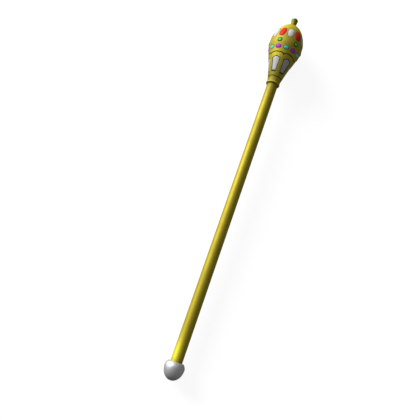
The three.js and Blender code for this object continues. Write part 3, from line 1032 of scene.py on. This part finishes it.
# The band of the painted highlight on the upper side near the pommel.
polished = np.exp(-(((above_pommel - ROD_HIGHLIGHT_HEIGHT) / ROD_HIGHLIGHT_REACH) ** 2))
paint(rod, "grime_and_shade", rod_grime_and_shade)
paint(rod, "rubbed_and_shaded", ROD_RUBBED * below_collar / SHAFT_LENGTH)
paint(rod, "painted_highlight", polished * facing(rod_surface, ROD_HIGHLIGHT_SIDE))
print("grime on the rod reaches", round(float(rod_grime_and_shade.max()), 2))

# %% [markdown]
# The pommel is an egg of silver with a flat top round the rod. It has an outline of its own, because
# a stretched sphere would be too pointed above its widest place. It is painted darker towards its
# lower end, as painted shade.

# %% Turn the pommel
POMMEL_STEPS = 96
POMMEL_ROWS = 40
SHOULDER_ROWS = 16
SHOULDER_SHARE = 0.97
TOP_EDGE = 0.5
TOP_EDGE_MIDDLE = (0.15, 0.12)
SOCKET_CHAMFER = 0.3
POMMEL_CREASE_REACH = 1.2
POMMEL_BOTTOM_SHADE = 0.55

pommel_top = -SHAFT_LENGTH
equator = (0, pommel_top - POMMEL_SHOULDER)
pommel_turn = math.acos(POMMEL_TOP_RADIUS / POMMEL_RADIUS)
upper_axis = POMMEL_SHOULDER / math.sin(pommel_turn)
last_turn = pommel_turn * SHOULDER_SHARE
pommel_outline = arc(equator, POMMEL_RADIUS, POMMEL_DROP, -QUARTER, 0, POMMEL_ROWS)
pommel_outline += arc(equator, POMMEL_RADIUS, upper_axis, 0, last_turn, SHOULDER_ROWS)[1:]
pommel_outline += [
    (POMMEL_TOP_RADIUS - TOP_EDGE_MIDDLE[0], pommel_top - TOP_EDGE_MIDDLE[1]),
    (POMMEL_TOP_RADIUS - TOP_EDGE, pommel_top),
    (SOCKET_RADIUS + SOCKET_CHAMFER, pommel_top),
    (SOCKET_RADIUS, pommel_top - SOCKET_CHAMFER),
    (SOCKET_RADIUS, pommel_top - POMMEL_SOCKET_DEPTH),
    (0, pommel_top - POMMEL_SOCKET_DEPTH),
]
pommel = turned("polished_pommel", pommel_outline, POMMEL_STEPS)
pommel_places = mesh_places(pommel) / MM
pommel_grime = near(pommel_places, SOCKET_RADIUS, pommel_top, POMMEL_CREASE_REACH)
below_equator = np.clip((equator[1] - pommel_places[:, 2]) / POMMEL_DROP, 0, 1)
# Grime in the crease round the rod, and painted shade darkening the lower end.
paint(pommel, "grime_and_shade", np.maximum(pommel_grime, POMMEL_BOTTOM_SHADE * below_equator ** 2))
print("pommel is", 2 * POMMEL_RADIUS, "mm across")

# %% [markdown]
# The stone in the end of the finial post is a tall cabochon. It is round, so it is turned like the
# rod and not laid over the head like the other stones.

# %% Turn the finial stone
FINIAL_STONE_STEPS = 64
FINIAL_STONE_ROWS = 20

stone_base = FINIAL_HEIGHT - FINIAL_SEAT_DEPTH + FIT_GAP
dome_centre = (0, FINIAL_HEIGHT)
finial_outline = [(0, stone_base), (FINIAL_STONE_RADIUS, stone_base)]
finial_outline += arc(
    dome_centre, FINIAL_STONE_RADIUS, FINIAL_STONE_RISE, 0, QUARTER, FINIAL_STONE_ROWS
)
stones["finial_stone"] = turned("polished_finial_stone", finial_outline, FINIAL_STONE_STEPS)
print("finial stone reaches", round(FINIAL_HEIGHT + FINIAL_STONE_RISE, 1), "mm")

# %% [markdown]
# Each finished mesh is laid down where its solid lies. The object itself could be moved and turned,
# but the export puts every object back at the origin, so the place has to be in the mesh. The head
# and the pommel are then cut off at the surface that the sceptre lies on, which leaves the two
# small flats that keep it from rolling.

# %% Lay the pieces down
def settle(piece, material, node):
    """Lays a finished piece down where its solid lies, gives it its material, and hides the solid.
    """
    piece.data.transform(lay_down)
    piece.data.materials.clear()
    piece.data.materials.append(material)
    smooth(piece)
    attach(piece, "root")
    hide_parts(node)


def flatten_underside(piece):
    select_only(piece)
    bpy.ops.object.mode_set(mode="EDIT")
    bpy.ops.mesh.select_all(action="SELECT")
    bpy.ops.mesh.bisect(
        plane_co=(0, 0, 0), plane_no=(0, 0, 1), use_fill=True, clear_inner=True,
        threshold=CLOSE_TOGETHER,
    )
    bpy.ops.object.mode_set(mode="OBJECT")


slots = {row["node"]: row["material_slot"] for row in frame["record"]["subparts"]}
settle(head, gilt_head, "head")
settle(rod, gilt_rod, "shaft")
settle(pommel, pommel_silver, "pommel")
flatten_underside(head)
flatten_underside(pommel)
for node, piece in stones.items():
    slot = slots[node]
    material = panel_silver if slot == "silver" else stone_finishes[slot.removesuffix("_stone")]
    settle(piece, material, node)
print(len(slots), "pieces are laid down")

# %% [markdown]
# The sceptre lies on a plain pale sweep. A flat ground would show its edge in a low view, so its rim
# curves up far away. The sweep glows a little itself, as a lit table does, which keeps the shadow
# faint.

# %% Lay the sweep
SWEEP_FLAT_RADIUS = 2000
SWEEP_BEND_RADIUS = 1200
SWEEP_BEND_ROWS = 16
SWEEP_STEPS = 96
SWEEP_LIGHT_GREY = (0.28, 0.28, 0.28)
SWEEP_DARK_GREY = (0.25, 0.25, 0.25)
SWEEP_ROUGHNESS = 0.9
SWEEP_GLOW = 0.9

bend_centre = (SWEEP_FLAT_RADIUS, SWEEP_BEND_RADIUS)
bend = arc(bend_centre, SWEEP_BEND_RADIUS, SWEEP_BEND_RADIUS, -QUARTER, 0, SWEEP_BEND_ROWS)
sweep = turned("pale_sweep", [(0, 0), (SWEEP_FLAT_RADIUS, 0)] + bend[1:], SWEEP_STEPS)
smooth(sweep)
paper = Finish("pale_sweep")
grain = paper.noise(scale=3, detail=3, roughness=0.5)
shader = paper.node(
    "ShaderNodeBsdfPrincipled",
    inputs={
        "Base Color": paper.blend(grain, SWEEP_LIGHT_GREY, SWEEP_DARK_GREY),
        "Roughness": SWEEP_ROUGHNESS,
        "Specular IOR Level": 0,
        "Emission Color": (1, 1, 1, 1),
        "Emission Strength": SWEEP_GLOW,
    },
)
paper.node("ShaderNodeOutputMaterial", inputs={"Surface": shader})
sweep.data.materials.append(paper.material)
sweep.visible_diffuse = False
sweep.visible_glossy = False
sweep.visible_shadow = False
print("sweep is", 2 * (SWEEP_FLAT_RADIUS + SWEEP_BEND_RADIUS) * MM, "m across")

# %% [markdown]
# One large soft light stands low beyond the head, to the upper left of the picture. It gives the
# bright left side and the dark right side. An area light would fade along the sceptre, so a sun
# with a wide angle stands for a large soft lamp. A weak fill comes from all round.

# %% Light the sceptre
KEY_DIRECTION = (-0.58, 0.80, 0.17)
KEY_STRENGTH = 3.6
KEY_SOFTNESS = 35
FILL_STRENGTH = 0.145
LAMP_PLACE = (0, 0, 1.5)


def add_sun(name, direction, strength, softness):
    """A soft distant light. Its direction is given as the camera sees it."""
    bpy.ops.object.light_add(type="SUN", location=LAMP_PLACE)
    light = bpy.context.object
    light.name = name
    light.data.energy = strength
    light.data.angle = math.radians(softness)
    towards = camera.matrix_world.to_3x3() @ Vector(direction)
    light.rotation_euler = towards.to_track_quat("Z", "Y").to_euler()
    print(name, "light stands", round(math.degrees(math.asin(towards.normalized().z))), "degrees up")


bpy.context.view_layer.update()
add_sun("key", KEY_DIRECTION, KEY_STRENGTH, KEY_SOFTNESS)
world = bpy.data.worlds.new("studio")
bpy.context.scene.world = world
world.use_nodes = True
background = world.node_tree.nodes["Background"]
background.inputs["Color"].default_value = (1, 1, 1, 1)
background.inputs["Strength"].default_value = FILL_STRENGTH
bpy.context.scene.view_settings.view_transform = "Standard"
